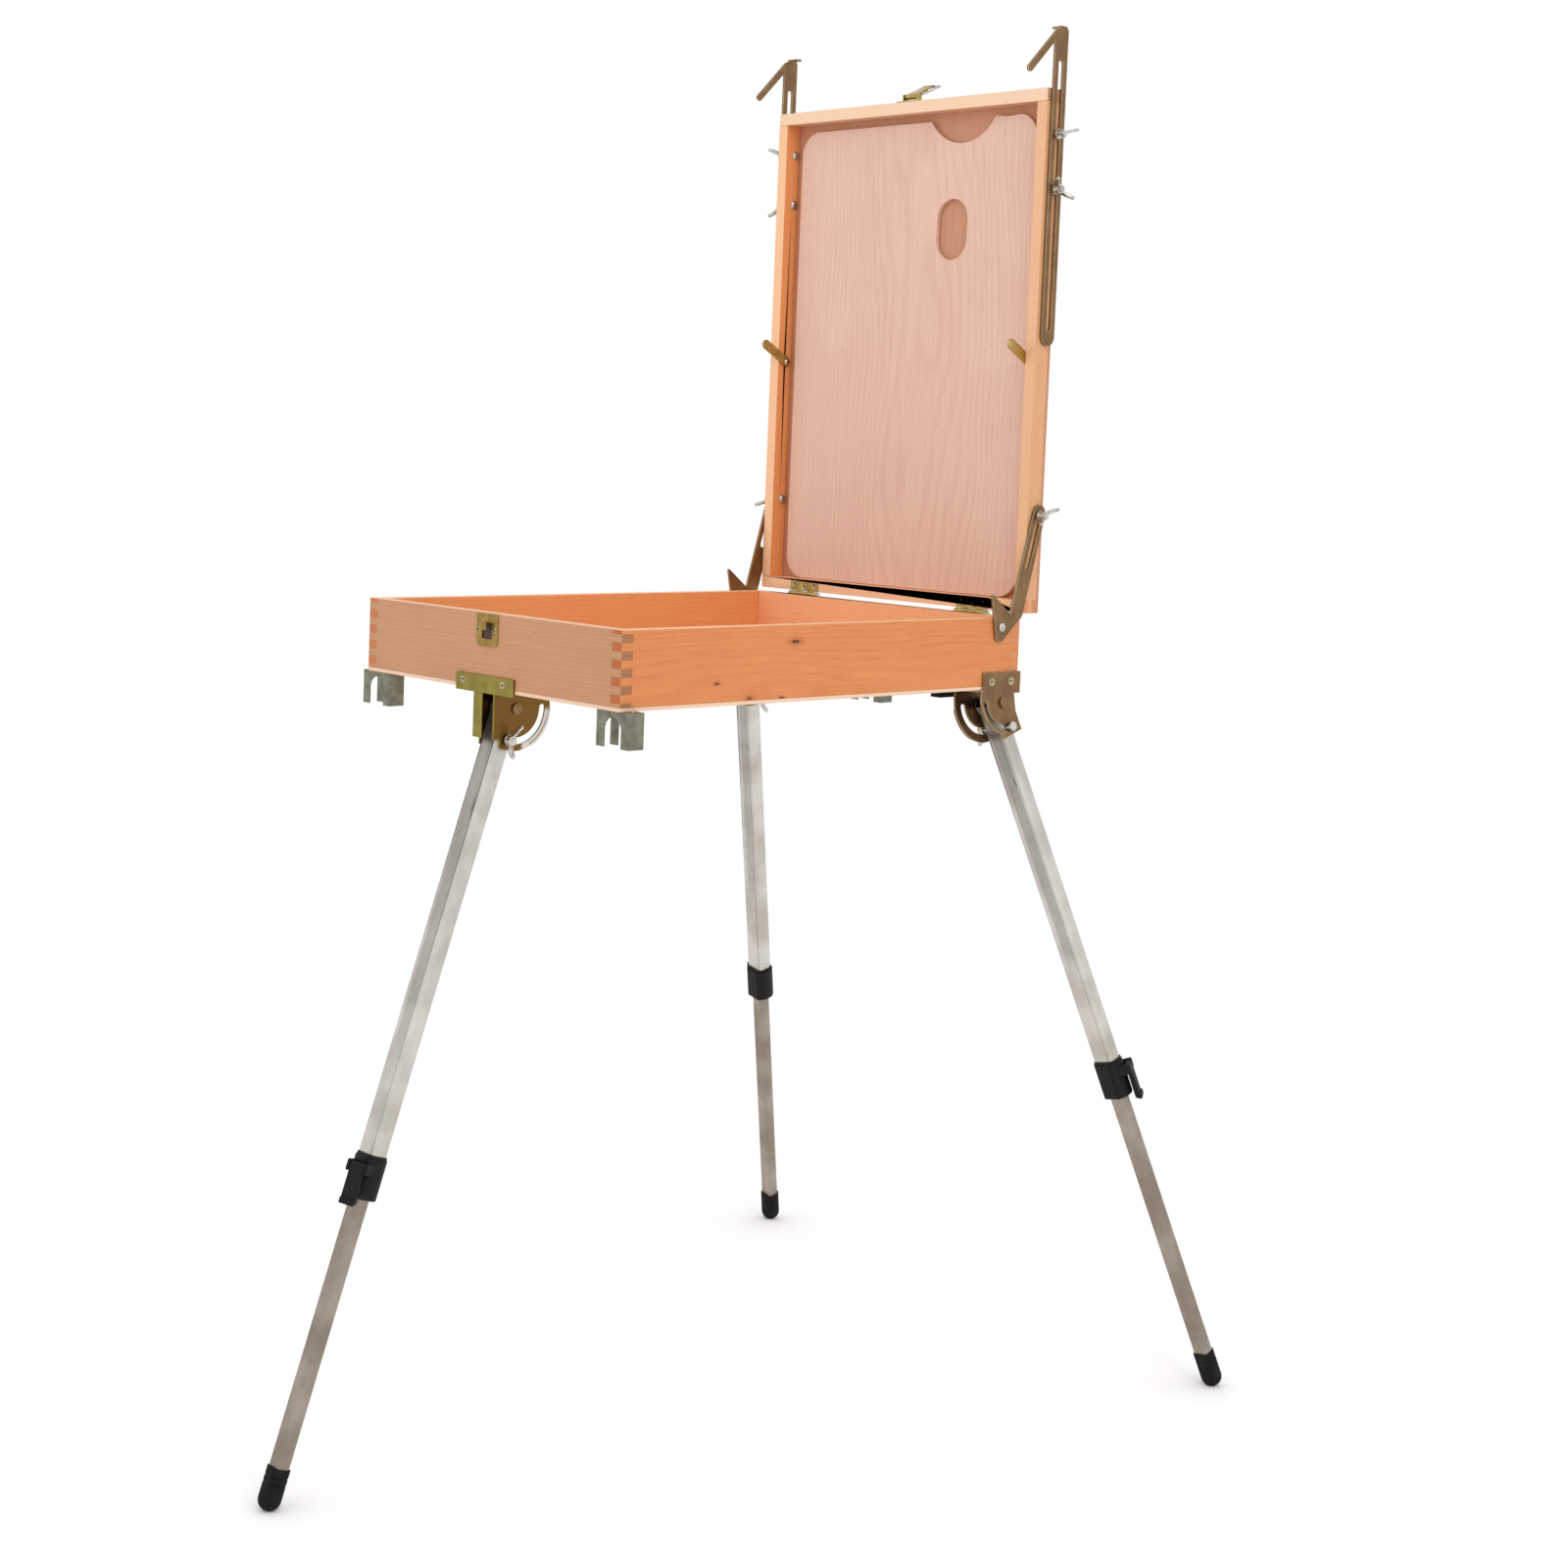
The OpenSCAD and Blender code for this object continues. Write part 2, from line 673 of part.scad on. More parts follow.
module lid_screws() {
    color(steel) {
        for (p = hinge_screw_spots) translate([p[0], lid_y, lid_z + leaf_w - p[1]]) rotate([90, 0, 0])
            wood_screw(leaf_t);
        for (p = latch_screws) translate([p[0], p[1], lid_top + 1]) round_screw(2, 1, 6.5);
        both_sides() translate([inner_x, turn_clip_y, lid_z + turn_clip_u]) {
            x_rod(-0.5, 6, 1.3);
            x_rod(-turn_clip_t - 0.3, 0, 1.5);
            translate([-turn_clip_t - 0.3, 0, 0]) rotate([0, -90, 0]) rotate_extrude()
                polygon([[0, 1.6], [2, 1.3], [3.2, 0.4], [3.2, 0], [0, 0]]);
        }
    }
}

// Latch on the lid's top board

latch_screws = [for (s = [-1, 1]) [s * 11.5, lid_y + 12]];

module latch_plate() {
    color(brass) {
        difference() {
            translate([-14, lid_y + 1, lid_top]) cube([28, 15, 1]);
            for (p = latch_screws) translate([p[0], p[1], lid_top - 1]) cylinder(h = 3, r = 1.15);
        }
        for (s = [-1, 1]) translate([s * 8.3 - 0.6, latch_pivot[0] - 3.2, lid_top]) cube([1.2, 6.4, 7.1]);
        translate([0, latch_pivot[0], latch_pivot[1]]) x_rod(-9.3, 9.3, latch_pin_r);
    }
}

module on_latch() {
    translate([0, latch_pivot[0], latch_pivot[1]]) rotate([latch_lift, 0, 0]) children();
}

module latch_lever() {
    color(brass) on_latch() difference() {
        union() {
            x_rod(-latch_lever_w / 2, latch_lever_w / 2, 2.6);
            translate([-latch_lever_w / 2, 0, 1]) cube([latch_lever_w, 24, 1.4]);
            for (s = [-1, 1]) translate([s * (latch_lever_w / 2 - 0.8) - 0.8, 0, -1]) cube([1.6, 15, 3]);
            translate([0, 24, 1.7]) x_rod(-latch_lever_w / 2, latch_lever_w / 2, 1.2);
        }
        x_rod(-latch_lever_w, latch_lever_w, latch_pin_r + run_gap);
        translate([0, loop_at, 0.4]) x_rod(-latch_lever_w, latch_lever_w, loop_r + run_gap);
    }
}

loop_x = latch_lever_w / 2 + 4;
loop_len = 22;

module latch_loop() {
    color(steel) on_latch() translate([0, loop_at, 0.4]) {
        for (s = [-1, 1]) translate([s * loop_x, 0, 0]) rotate([-90, 0, 0])
            cylinder(h = loop_len, r = loop_r);
        translate([0, loop_len, 0]) x_rod(-loop_x, loop_x, loop_r);
        for (s = [-1, 1]) translate([s * loop_x, 0, 0]) sphere(loop_r);
        for (s = [-1, 1]) translate([s * loop_x, loop_len, 0]) sphere(loop_r);
        x_rod(-loop_x, -latch_lever_w / 2 + 1.2, loop_r);
        x_rod(latch_lever_w / 2 - 1.2, loop_x, loop_r);
    }
}

// Canvas arms and stays

module arm_outline() {
    top = arm_len;
    difference() {
        union() {
            polygon([[-arm_w / 2, arm_w / 2], [arm_w / 2, arm_w / 2], [arm_w / 2, top - 3.5],
                [arm_w / 2 - 2.5, top], [-2, top], [-arm_w / 2, top - 9]]);
            translate([0, arm_w / 2]) circle(arm_w / 2);
            translate(prong_foot) rotate(-45) stadium(prong_w, 0, prong_len);
        }
        stadium(slot_w, arm_slot_low, arm_slot_high);
    }
}

module right_arm() {
    color(bronze) translate([0, holder_y, lid_z + arm_low]) {
        side_plate(plate_x, plate_t) arm_outline();
        translate([plate_x - 9, -1, arm_len - plate_t]) cube([9 + plate_t, 6, plate_t]);
    }
}

module left_arm() {
    mirror([1, 0, 0]) right_arm();
}

// Point beside the stay's pivot, across and along its bar
function stay_at(across, along) =
    [across * sin(stay_dir) + along * cos(stay_dir), along * sin(stay_dir) - across * cos(stay_dir)];

module stay_outline() {
    edges = [stay_offset - stay_w / 2, stay_offset + stay_w / 2];
    difference() {
        polygon(concat([[-14.4, 27.7], [-13, 28.4], [10.5, 10.8], stay_at(edges[0], 17)],
            [for (a = [180 : -15 : 0]) stay_at(stay_offset + stay_w / 2 * cos(a),
                stay_run + 2 + stay_w / 2 * sin(a))],
            [stay_at(edges[1], 15), [1.6, -11.8], [-1, -13], [-5, -12.6], [-6.8, -10.6]]));
        rotate(stay_dir - 90) translate([stay_offset, 0]) stadium(slot_w, stay_run - 46, stay_run);
        circle(stay_screw_r + run_gap);
    }
}

module right_stay() {
    color(bronze) translate([0, stay_pivot[0], stay_pivot[1]]) side_plate(plate_x, plate_t) stay_outline();
}

module left_stay() {
    mirror([1, 0, 0]) right_stay();
}

// Wing nut along X, its seat at the origin
module wing_nut(bore) {
    difference() {
        union() {
            x_rod(0, nut_hub_h, nut_hub_r - 0.6);
            x_rod(0, 1.6, nut_hub_r);
            for (s = [-1, 1]) translate([0, 0, -1.1]) linear_extrude(2.2) {
                polygon([[1, s * 2], [1.2, s * 4], [6.5, s * 11.5], [11, s * 13.5], [12.6, s * 11.6],
                    [6, s * 3], [5.6, s * 2]]);
                translate([11.2, s * 12.1]) circle(1.9);
            }
        }
        if (bore > 0) x_rod(-1, nut_hub_h + 3, bore);
    }
}

module arm_nut(u, turn) {
    color(steel) translate([nut_x, holder_y, lid_z + u]) rotate([turn, 0, 0])
        wing_nut(bolt_r + run_gap);
}

// How the wings of the right and left nuts stand, from the low nut to the top one
right_nut_turns = [-35, 20];
left_nut_turns = [50, -30];

module right_arm_top_nut() { arm_nut(arm_bolt_u[1], right_nut_turns[1]); }
module right_arm_low_nut() { arm_nut(arm_bolt_u[0], right_nut_turns[0]); }
module left_arm_top_nut() { mirror([1, 0, 0]) arm_nut(arm_bolt_u[1], left_nut_turns[1]); }
module left_arm_low_nut() { mirror([1, 0, 0]) arm_nut(arm_bolt_u[0], left_nut_turns[0]); }

// The stay nut brings its own threaded end, which slides in the stay's slot
module right_stay_nut() {
    color(steel) translate([0, stay_bolt[0], stay_bolt[1]]) {
        translate([nut_x, 0, 0]) rotate([30, 0, 0]) wing_nut(0);
        x_rod(side_x + 0.3, bolt_end_x, bolt_r);
    }
}

module left_stay_nut() {
    mirror([1, 0, 0]) right_stay_nut();
}

// Legs: each is drawn hanging down from its pivot, then leaned into place

module front_leg() {
    translate(front_pivot) rotate([-front_lean, 0, 0]) children();
}

module rear_leg(s) {
    translate([s * rear_pivot[0], rear_pivot[1], rear_pivot[2]])
        rotate([rear_lean, -s * rear_tilt, 0]) children();
}

// Round bar with four flats, half as far across as the two values, standing on the origin
module flat_bar(r, h, flats) {
    intersection() {
        cylinder(h = h, r = r);
        translate([-flats[0], -flats[1], 0]) cube([2 * flats[0], 2 * flats[1], h]);
    }
}

module upper_tube(clamp_at, wing_at) {
    color(alloy) difference() {
        union() {
            translate([0, 0, -clamp_at]) flat_bar(upper_r, clamp_at, upper_flats);
            x_rod(-upper_flats[0], upper_flats[0], upper_flats[1]);
        }
        translate([0, 0, -clamp_at - 1]) flat_bar(upper_r - tube_wall, clamp_at - 17,
            upper_flats - [tube_wall, tube_wall]);
        x_rod(-20, 20, leg_pin_r + run_gap);
        translate([0, 0, -wing_at]) x_rod(-20, 20, wing_bolt_r + run_gap);
    }
}

lever_y = clamp_r + 3.4;
lever_w = 13;

// Collar that joins the tubes, with lugs and a pin for its lever
module clamp(clamp_at, turn) {
    color(black) translate([0, 0, -clamp_at]) difference() {
        union() {
            translate([0, 0, -clamp_h / 2]) flat_bar(clamp_r, clamp_h, clamp_flats);
            translate([0, 0, clamp_h / 2 - 0.01]) flat_bar(upper_r + 1, 2.5, upper_flats + [1.4, 1.4]);
            rotate(turn) for (s = [-1, 1])
                translate([s * (lever_w / 2 + 1.7) - 1.4, -lever_y - 3, 3]) cube([2.8, lever_y - 4, 9]);
            rotate(turn) translate([0, -lever_y, 8]) x_rod(-lever_w / 2 - 2, lever_w / 2 + 2, 1.5);
        }
        translate([0, 0, -clamp_h]) flat_bar(lower_r + run_gap, clamp_h + 0.01,
            lower_flats + [run_gap, run_gap]);
        flat_bar(upper_r + press_gap, clamp_h, upper_flats + [press_gap, press_gap]);
        rotate(turn) translate([-0.9, -clamp_r - 1, -clamp_h / 2 - 1]) cube([1.8, clamp_r - 3, clamp_h / 2]);
    }
}

module clamp_lever(clamp_at, turn) {
    color(black) translate([0, 0, -clamp_at]) rotate(turn) translate([0, -lever_y, 8]) difference() {
        union() {
            x_rod(-lever_w / 2, lever_w / 2, 3);
            translate([-lever_w / 2, -3, -27]) cube([lever_w, 4.4, 27]);
            translate([0, -0.8, -27]) x_rod(-lever_w / 2, lever_w / 2, 2.2);
            translate([-lever_w / 2, -4.4, -30]) cube([lever_w, 3, 5]);
        }
        x_rod(-lever_w, lever_w, 1.5 + run_gap);
    }
}

module lower_tube(clamp_at, foot_at) {
    color(alloy) translate([0, 0, -foot_at]) difference() {
        flat_bar(lower_r, foot_at - clamp_at + lower_overlap, lower_flats);
        translate([0, 0, 14]) flat_bar(lower_r - tube_wall, foot_at, lower_flats - [tube_wall, tube_wall]);
    }
}

module foot_shape(foot_at) {
    translate([0, 0, -foot_at]) difference() {
        union() {
            sphere(foot_r);
            flat_bar(foot_r, 24, foot_flats);
        }
        flat_bar(lower_r + press_gap, 25, lower_flats + [press_gap, press_gap]);
        for (z = [12, 17]) translate([0, 0, z]) rotate_extrude() translate([foot_r, 0]) circle(0.7);
    }
}

// The foot's end is worn flat where it stands on the floor
module on_floor() {
    difference() {
        children();
        translate([-1000, -1000, -100]) cube([2000, 2000, 100]);
    }
}

// Screw through the arc slots, with its wings on the +X side
module wing_screw(at) {
    seat = cheek_x + cheek_t + rim_bead + 0.5;
    color(steel) translate([0, 0, -at]) {
        x_rod(-seat - 0.2, seat + 2, wing_bolt_r);
        x_rod(-seat - 2.2, -seat, 4.2);
        translate([seat, 0, 0]) rotate([90, 0, 0]) wing_nut(0);
    }
}

module front_upper_tube() { front_leg() upper_tube(front_clamp_at, front_wing_at); }
module front_clamp() { front_leg() clamp(front_clamp_at, 25); }
module front_clamp_lever() { front_leg() clamp_lever(front_clamp_at, 25); }
module front_lower_tube() { front_leg() lower_tube(front_clamp_at, front_foot_at); }
module front_foot() { color(black) on_floor() front_leg() foot_shape(front_foot_at); }
module front_wing_screw() { front_leg() wing_screw(front_wing_at); }

module right_upper_tube() { rear_leg(1) upper_tube(rear_clamp_at, rear_wing_at); }
module right_clamp() { rear_leg(1) clamp(rear_clamp_at, 120); }
module right_clamp_lever() { rear_leg(1) clamp_lever(rear_clamp_at, 120); }
module right_lower_tube() { rear_leg(1) lower_tube(rear_clamp_at, rear_foot_at); }
module right_foot() { color(black) on_floor() rear_leg(1) foot_shape(rear_foot_at); }
module right_wing_screw() { rear_leg(1) mirror([1, 0, 0]) wing_screw(rear_wing_at); }

module left_upper_tube() { mirror([1, 0, 0]) right_upper_tube(); }
module left_clamp() { mirror([1, 0, 0]) right_clamp(); }
module left_clamp_lever() { mirror([1, 0, 0]) right_clamp_lever(); }
module left_lower_tube() { mirror([1, 0, 0]) right_lower_tube(); }
module left_foot() { mirror([1, 0, 0]) right_foot(); }
module left_wing_screw() { mirror([1, 0, 0]) right_wing_screw(); }

front_board();
rear_board();
right_board();
left_board();
bottom_panel();
hinge_base_leaves();
hinge_pins();
latch_keeper();
stay_pivot_screws();
base_screws();
front_leg_bracket();
right_leg_bracket();
left_leg_bracket();
bracket_blocks();
leg_pivot_pins();
leg_clips();
lid_top_board();
lid_bottom_board();
lid_right_board();
lid_left_board();
lid_panel();
hinge_lid_leaves();
latch_plate();
carriage_bolts();
lid_screws();
latch_lever();
latch_loop();
palette();
right_turn_clip();
left_turn_clip();
right_arm();
left_arm();
right_stay();
left_stay();
right_arm_top_nut();
right_arm_low_nut();
left_arm_top_nut();
left_arm_low_nut();
right_stay_nut();
left_stay_nut();
front_upper_tube();
front_clamp();
front_clamp_lever();
front_lower_tube();
front_foot();
front_wing_screw();
right_upper_tube();
right_clamp();
right_clamp_lever();
right_lower_tube();
right_foot();
right_wing_screw();
left_upper_tube();
left_clamp();
left_clamp_lever();
left_lower_tube();
left_foot();
left_wing_screw();
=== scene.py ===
# Looks for a pochade box on three telescopic legs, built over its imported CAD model.
import json
import math

import bmesh
import bpy
import numpy as np
from mathutils import Matrix


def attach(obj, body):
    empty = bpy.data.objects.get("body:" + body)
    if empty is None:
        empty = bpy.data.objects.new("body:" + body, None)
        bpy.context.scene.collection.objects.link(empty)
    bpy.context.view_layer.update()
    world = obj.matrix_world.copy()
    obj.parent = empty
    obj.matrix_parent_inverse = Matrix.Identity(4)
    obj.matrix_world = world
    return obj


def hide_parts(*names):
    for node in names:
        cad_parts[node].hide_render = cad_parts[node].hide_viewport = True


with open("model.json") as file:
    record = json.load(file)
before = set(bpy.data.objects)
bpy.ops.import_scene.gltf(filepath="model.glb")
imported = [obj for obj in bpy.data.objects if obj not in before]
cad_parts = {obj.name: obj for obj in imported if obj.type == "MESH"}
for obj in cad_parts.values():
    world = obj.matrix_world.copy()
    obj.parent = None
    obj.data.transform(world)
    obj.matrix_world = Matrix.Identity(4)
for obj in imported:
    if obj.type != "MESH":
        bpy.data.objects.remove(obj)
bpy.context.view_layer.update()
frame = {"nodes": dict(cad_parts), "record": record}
bodyOf = {n: body for body, members in frame["record"]["behaviour"]["bodies"].items() for n in members}
slotOf = {row["node"]: row["material_slot"] for row in frame["record"]["subparts"]}


# One output socket of a finish. Arithmetic on it adds Math nodes.
class Value:
    def __init__(self, finish, socket):
        self.finish, self.socket = finish, socket

    def join(self, operation, *others):
        return self.finish.node("ShaderNodeMath", {"operation": operation}, [self, *others])

    def __add__(self, other): return self.join("ADD", other)
    def __sub__(self, other): return self.join("SUBTRACT", other)
    def __rsub__(self, other):
        return self.finish.node("ShaderNodeMath", {"operation": "SUBTRACT"}, [other, self])
    def __mul__(self, other): return self.join("MULTIPLY", other)
    def __pow__(self, other): return self.join("POWER", other)

    # 0 below low, 1 above high, smooth between; low may be the larger one
    def band(self, low, high):
        return self.finish.node("ShaderNodeMapRange", {"interpolation_type": "SMOOTHSTEP"},
                                {0: self, 1: low, 2: high})


# A material built from nodes. Its patterns read Object coordinates, in metres.
class Finish:
    def __init__(self, name, roughness, metallic=0.0, **constants):
        self.material = bpy.data.materials.new(name)
        self.material.use_nodes = True
        self.tree = self.material.node_tree
        self.shader = self.tree.nodes["Principled BSDF"]
        self.shader.inputs["Roughness"].default_value = roughness
        self.shader.inputs["Metallic"].default_value = metallic
        for key, value in constants.items():
            self.shader.inputs[key.replace("_", " ")].default_value = value
        self.place = self.node("ShaderNodeTexCoord", {}, {}, "Object")
        self.facing = self.node("ShaderNodeTexCoord", {}, {}, "Normal")

    def node(self, kind, settings, inputs, output=0):
        made = self.tree.nodes.new(kind)
        for key, value in settings.items():
            setattr(made, key, value)
        for key, value in inputs.items() if isinstance(inputs, dict) else enumerate(inputs):
            if isinstance(value, Value):
                self.tree.links.new(value.socket, made.inputs[key])
            else:
                made.inputs[key].default_value = value
        return Value(self, made.outputs[output])

    def feed(self, socket, value):
        self.tree.links.new(value.socket, self.shader.inputs[socket])

    def split(self, vector):
        return [self.node("ShaderNodeSeparateXYZ", {}, [vector], axis) for axis in range(3)]

    def vectorMaths(self, operation, first, second=None, output=0):
        inputs = {0: first} if second is None else {0: first, 1: second}
        return self.node("ShaderNodeVectorMath", {"operation": operation}, inputs, output)

    def dot(self, vector, direction):
        return self.vectorMaths("DOT_PRODUCT", vector, direction, "Value")

    # Distance from a point, with each axis stretched
    def away(self, centre, stretch=(1, 1, 1)):
        gap = self.vectorMaths("SUBTRACT", self.place, centre)
        return self.vectorMaths("LENGTH", self.vectorMaths("MULTIPLY", gap, stretch), None, "Value")

    def vector(self, x, y, z):
        return self.node("ShaderNodeCombineXYZ", {}, [x, y, z])

    def noise(self, where, detail=3.0, roughness=0.5):
        settings = {"Vector": where, "Scale": 1.0, "Detail": detail, "Roughness": roughness}
        return self.node("ShaderNodeTexNoise", {}, settings)

    def stretched(self, scales, shift=0.0):
        moved = self.vectorMaths("ADD", self.place, (shift, shift, shift))
        return self.vectorMaths("MULTIPLY", moved, scales)

    def mixed(self, factor, first, second):
        return self.node("ShaderNodeMix", {"data_type": "RGBA", "blend_type": "MIX"},
                         {0: factor, 6: first, 7: second}, 2)

    def bump(self, height, distance, strength):
        self.feed("Normal", self.node("ShaderNodeBump", {},
                                      {"Height": height, "Distance": distance, "Strength": strength}))


# 0 to 255 as seen on screen, to a linear colour
def tone(red, green, blue):
    seen = np.array([red, green, blue]) / 255
    linear = np.where(seen <= 0.04045, seen / 12.92, ((seen + 0.055) / 1.055) ** 2.4)
    return (*linear.tolist(), 1.0)


def tones(**named):
    return {name: tone(*values) for name, values in named.items()}


# Woods: tones of the face, of the end grain and of the rims, which are lighter partly as sawn wood and
# partly as painted light
frontTones = tones(light=(202, 150, 110), dark=(168, 114, 76), end=(146, 94, 60), rim=(236, 188, 148))
topTones = tones(light=(226, 182, 144), dark=(196, 142, 102), end=(160, 108, 74), rim=(246, 212, 182))
sideTones = tones(light=(222, 144, 84), dark=(186, 98, 48), end=(168, 96, 56), rim=(246, 196, 152))
rearTones = tones(light=(255, 190, 142), dark=(232, 150, 100), end=(170, 104, 66), rim=(252, 205, 166))
innerTones = tones(light=(242, 166, 106), dark=(212, 124, 68), end=(168, 100, 62), rim=(246, 200, 160))
lidSideTones = tones(light=(224, 170, 126), dark=(192, 132, 90), end=(158, 104, 70), rim=(234, 184, 144))
backTones = tones(light=(206, 150, 118), dark=(176, 118, 86), end=(150, 98, 70))
panelTones = tones(light=(240, 208, 184), dark=(222, 180, 150), end=(214, 176, 144))
paletteTones = tones(light=(232, 196, 176), dark=(206, 160, 140), end=(176, 124, 98))
# The first is the tone of painted shade behind the keeper's opening; then the tones of knots and of their
# halos
paintedShadeTone, knotTone, knotRimTone = tone(64, 40, 24), tone(92, 48, 28), tone(176, 92, 48)

# Patterns in the wood: noise scales along and across the grain, per metre, and how strongly each shows
beech = dict(
    waver=(3.0, 9.0), fibres=(22.0, 900.0), flecks=(260.0, 2100.0), blotches=14.0, pores=1900.0,
    ringGap=0.0034, ringWaver=0.035, ringSharpness=2.2, ringDepth=0.13, fibreDepth=0.30,
    fleckDepth=0.30, blotch=0.34, base=0.12, gloss=0.46, sawnAndLitRimShare=0.8, endShare=0.85, plyShare=0.4,
    knotLength=0.42, knotWaver=0.004, knotHalo=2.6, relief=0.00012, reliefStrength=0.5)
paletteWood = dict(beech, ringDepth=0.16, fibreDepth=0.38, gloss=0.5)


# The fibres follow axis number grain. Rings are bands of distance from a pith line that wavers along
# the grain. rimUp is the axis and sign that a board's sawn rim faces, whose lighter tone is partly
# painted light; plies are the axis of a plywood's thickness, where it starts and how thick one layer is.
def woodFinish(name, grain, shades, look, pith, shift, knots=(), rimUp=None, plies=None, paintedShade=None):
    finish = Finish(name, look["gloss"], Coat_Roughness=0.35, Specular_IOR_Level=0.35)
    axes = finish.split(finish.place)
    facing = finish.split(finish.facing)
    across = [i for i in range(3) if i != grain]

    def grained(scales, offset=0.0):
        return finish.stretched([scales[0] if i == grain else scales[1] for i in range(3)], shift + offset)

    waver = finish.noise(grained(look["waver"]), 2.0)
    offA = axes[across[0]] - pith[0]
    offB = axes[across[1]] - pith[1]
    ring = (offA * offA + offB * offB) ** 0.5 + waver * look["ringWaver"]
    rings = ((ring * (2 * math.pi / look["ringGap"])).join("SINE") * 0.5 + 0.5) ** look["ringSharpness"]
    fibres = finish.noise(grained(look["fibres"]), 4.0, 0.65)
    flecks = finish.noise(grained(look["flecks"], 0.3), 1.0).band(0.60, 0.74)
    blotch = finish.noise(finish.stretched([look["blotches"]] * 3, shift), 2.0)
    shade = rings * look["ringDepth"] + (fibres - 0.5) * (2.4 * look["fibreDepth"])
    shade = shade + blotch * look["blotch"] + look["base"]
    colour = finish.mixed(shade, shades["light"], shades["dark"])
    colour = finish.mixed(flecks * look["fleckDepth"], colour, shades["end"])
    for centre, size in knots:
        stretch = [look["knotLength"] if i == grain else 1.0 for i in range(3)]
        gap = finish.away(centre, stretch) + (fibres - 0.5) * look["knotWaver"]
        colour = finish.mixed(gap.band(size * look["knotHalo"], size) * 0.55, colour, knotRimTone)
        colour = finish.mixed(gap.band(size, size * 0.35), colour, knotTone)
    if paintedShade:  # painted shade: a dark spot on the board, standing for a shaded hollow behind the keeper's opening
        centre, size = paintedShade
        colour = finish.mixed(finish.away(centre).band(size, size * 0.85), colour, paintedShadeTone)
    # Rims facing rimUp take the rim tone: partly the sawn wood's own colour, partly painted light
    if rimUp:
        rim = (facing[rimUp[0]] * rimUp[1]).band(0.5, 0.8)
        colour = finish.mixed(rim * look["sawnAndLitRimShare"], colour, shades["rim"])
    if plies:
        axis, start, gap = plies
        layer = ((axes[axis] - start) * (math.pi / gap)).join("SINE").join("ABSOLUTE").band(0.25, 0.85)
        edge = (1 - facing[axis].join("ABSOLUTE")).band(0.4, 0.6)
        colour = finish.mixed(layer * edge * look["plyShare"], colour, shades["dark"])
    endOn = facing[grain].join("ABSOLUTE").band(0.6, 0.8)
    if not plies:
        pores = finish.noise(finish.stretched([look["pores"]] * 3), 1.0).band(0.42, 0.66)
        endTone = finish.mixed(pores, shades["end"], shades["dark"])
        colour = finish.mixed(endOn * look["endShare"], colour, endTone)
    finish.feed("Base Color", colour)
    finish.feed("Roughness", fibres * 0.12 + endOn * 0.2 + (look["gloss"] - 0.06))
    finish.bump(fibres * 0.7 + rings * 0.3, look["relief"], look["reliefStrength"])
    return finish.material


# Metals: scales of their specks, scratches and brushing, per metre, and the depth of their relief
metalScales = dict(specks=1400.0, scratches=(500.0, 60.0, 700.0), brushAlong=12.0, brushAcross=2400.0,
                   relief=0.00005)


def metalLook(colour, drift, grime, **rest):
    base = dict(dirt=0.4, streak=0.35, lineGloss=0.14, bump=0.2, metallic=1.0)
    return dict(base, colour=tone(*colour), drift=tone(*drift), grime=tone(*grime), **rest)


brassLook = metalLook(
    (198, 176, 112), (168, 142, 78), (92, 74, 38),
    gloss=0.3, patch=160.0, dirt=0.5, streak=0.3, lineGloss=0.16, bump=0.3)
keeperLook = dict(brassLook, colour=tone(176, 146, 84), drift=tone(140, 112, 58))
zincLook = metalLook(
    (154, 144, 66), (134, 120, 60), (84, 70, 40), gloss=0.36, patch=90.0, dirt=0.35, streak=0.4, bump=0.3)
bronzeLook = metalLook(
    (120, 92, 68), (142, 112, 78), (58, 44, 32), gloss=0.38, patch=70.0, dirt=0.45, bump=0.35)
wornLook = metalLook(
    (206, 192, 160), (172, 152, 116), (86, 72, 52), gloss=0.28, patch=200.0, streak=0.3, lineGloss=0.12)
screwLook = metalLook(
    (214, 200, 166), (176, 158, 118), (70, 56, 36),
    gloss=0.26, patch=260.0, dirt=0.5, streak=0.2, lineGloss=0.12)
# Painted shade for the screws' cross recesses
recessShadeLook = dict(screwLook, colour=tone(58, 46, 32), drift=tone(44, 34, 24))
pinLook = dict(bronzeLook, colour=tone(150, 120, 84), drift=tone(116, 90, 62))
steelLook = metalLook(
    (214, 212, 206), (176, 172, 162), (90, 84, 74), gloss=0.24, patch=240.0, streak=0.2, lineGloss=0.12)
greyLook = metalLook(
    (138, 138, 120), (110, 108, 92), (70, 68, 56),
    gloss=0.5, patch=120.0, streak=0.2, bump=0.35, metallic=0.7)
alloyLook = metalLook(
    (216, 213, 206), (184, 179, 170), (112, 106, 98),
    gloss=0.34, patch=26.0, dirt=0.15, lineGloss=0.22, bump=0.5, metallic=0.9)
lowerLook = dict(alloyLook, colour=tone(172, 162, 150), drift=tone(138, 126, 112))


